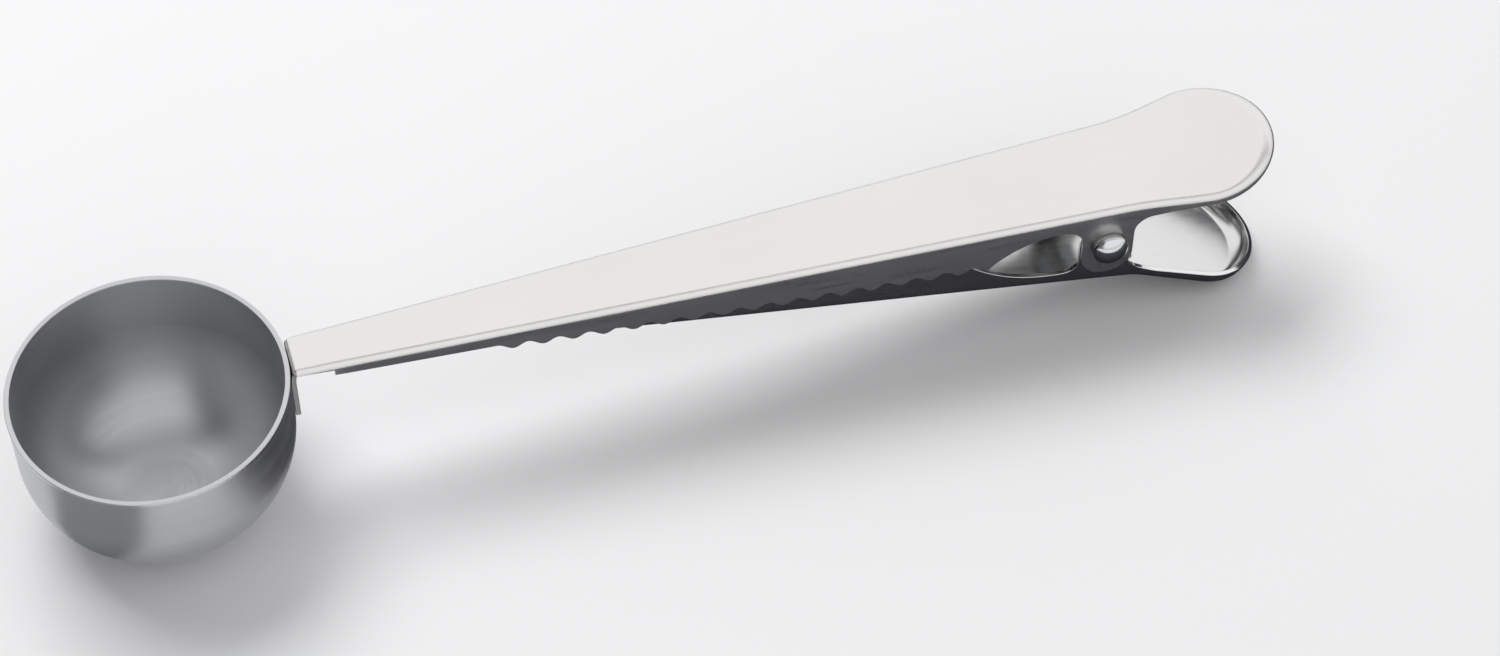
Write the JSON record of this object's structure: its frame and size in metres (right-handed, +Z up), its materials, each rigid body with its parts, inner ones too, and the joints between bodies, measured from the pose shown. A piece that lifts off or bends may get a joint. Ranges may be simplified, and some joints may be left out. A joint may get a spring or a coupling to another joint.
{
  "type": "scoop with bag clip handle",
  "caption": "Long-handled measuring scoop whose channel handle holds a sprung lower jaw, so the handle clips a folded bag shut.",
  "frame": {"origin": "centre of the flat base of the scoop bowl", "axes": "+Z up through the bowl's open mouth, +X along the handle from the bowl to the thumb end"},
  "size_m": [0.1785, 0.038, 0.0265],
  "materials": {
    "bowl_steel": "satin outside and in, ground rim",
    "handle_steel": "fine lengthwise satin",
    "jaw_steel": "satin",
    "rivet_steel": "polished",
    "spring_steel": "drawn wire"
  },
  "bodies": {
    "scoop": {"scoop_bowl": "bowl_steel", "handle": "handle_steel", "pivot_rivet": "rivet_steel", "torsion_spring": "spring_steel"},
    "jaw": {"lower_jaw": "jaw_steel"}
  },
  "joints": [
    {"name": "clip_pivot", "type": "hinge", "parent": "scoop", "child": "jaw", "pos_m": [0.1333, 0, 0.01675], "axis": [0, -1, 0], "range_deg": [0, 34], "stiffness_Nm_per_rad": 0.2, "springref_deg": -28.65, "deforming": ["torsion_spring"]}
  ]
}
